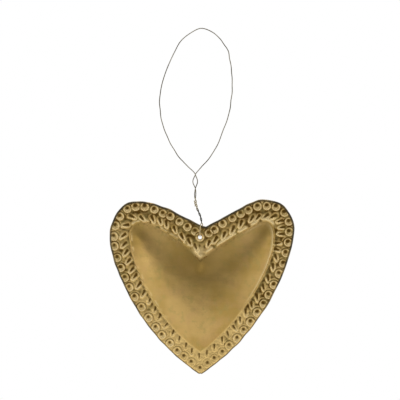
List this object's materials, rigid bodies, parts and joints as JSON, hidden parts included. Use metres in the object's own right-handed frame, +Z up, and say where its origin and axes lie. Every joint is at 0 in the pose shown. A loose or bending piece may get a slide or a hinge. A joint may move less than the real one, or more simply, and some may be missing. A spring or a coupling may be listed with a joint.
{
  "type": "hanging heart ornament",
  "caption": "Hollow stamped brass heart, closed at the back by a flat sheet, on a twisted wire hanger.",
  "frame": {"origin": "where a hook bears, at the underside of the top of the wire loop", "axes": "+Z up, the heart hanging below; +Y from the stamped front to the flat back; +X to the right seen from the front"},
  "size_m": [0.0998, 0.009, 0.1868],
  "materials": {
    "wire": "dull drawn wire, darkened with age",
    "stamped_sheet": "satin, hand stamped, with dark patina in the stamps",
    "plain_sheet": "plain sheet, dull and slightly tarnished"
  },
  "bodies": {
    "hanger": {"hanger_wire": "wire"},
    "heart": {"front_shell": "stamped_sheet", "back_sheet": "plain_sheet"}
  },
  "joints": [
    {"name": "heart_swing", "type": "hinge", "parent": "hanger", "child": "heart", "pos_m": [0, 0, -0.11205], "axis": [0, 1, 0], "range_deg": [-25, 15]}
  ]
}
